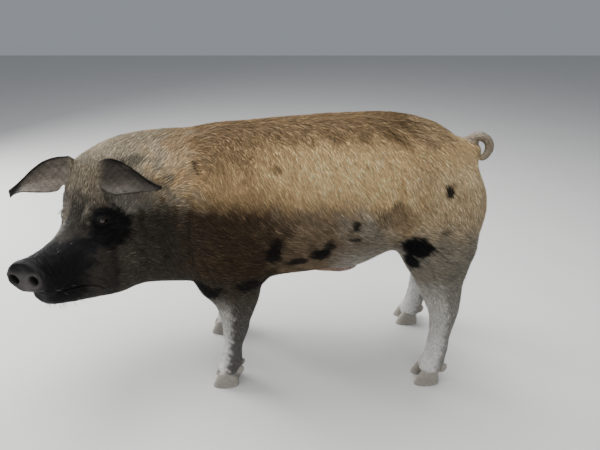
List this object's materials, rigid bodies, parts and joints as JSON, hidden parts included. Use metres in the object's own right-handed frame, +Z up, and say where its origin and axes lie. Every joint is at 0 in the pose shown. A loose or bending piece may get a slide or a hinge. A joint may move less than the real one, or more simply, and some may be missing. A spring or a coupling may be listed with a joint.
{
  "type": "boar pig",
  "caption": "Life-size still model of a standing boar pig, tan and grey with dark patches, its head turned to its left.",
  "frame": {"origin": "on the floor, under the middle of the bounding box", "axes": "+X towards the tail end, along the trunk; -Y towards the pig's left side, where its head turns; +Z up"},
  "size_m": [1.3972, 0.6152, 0.8972],
  "materials": {
    "coat": "golden tan bristles lying over greyish skin, black on the muzzle, round the eyes and in spots",
    "leg": "short whitish hair over pale skin",
    "ear": "dark grey-brown skin with thin hair",
    "snout": "bare dark grey-brown skin, matt",
    "tail": "greyish skin with sparse pale hair",
    "horn": "dull pale grey-brown horn with fine rings",
    "eye": "wet dark brown"
  },
  "bodies": {
    "root": {"head": "coat", "neck": "coat", "torso": "coat", "snout": "snout", "tail": "tail", "ear_left": "ear", "ear_right": "ear", "eye_left": "eye", "eye_right": "eye", "foreleg_left": "leg", "foreleg_right": "leg", "hindleg_left": "leg", "hindleg_right": "leg", "claw_front_left_outer": "horn", "claw_front_left_inner": "horn", "claw_front_right_outer": "horn", "claw_front_right_inner": "horn", "claw_hind_left_outer": "horn", "claw_hind_left_inner": "horn", "claw_hind_right_outer": "horn", "claw_hind_right_inner": "horn", "dewclaw_front_left_outer": "horn", "dewclaw_front_left_inner": "horn", "dewclaw_front_right_outer": "horn", "dewclaw_front_right_inner": "horn", "dewclaw_hind_left_outer": "horn", "dewclaw_hind_left_inner": "horn", "dewclaw_hind_right_outer": "horn", "dewclaw_hind_right_inner": "horn"}
  },
  "joints": []
}
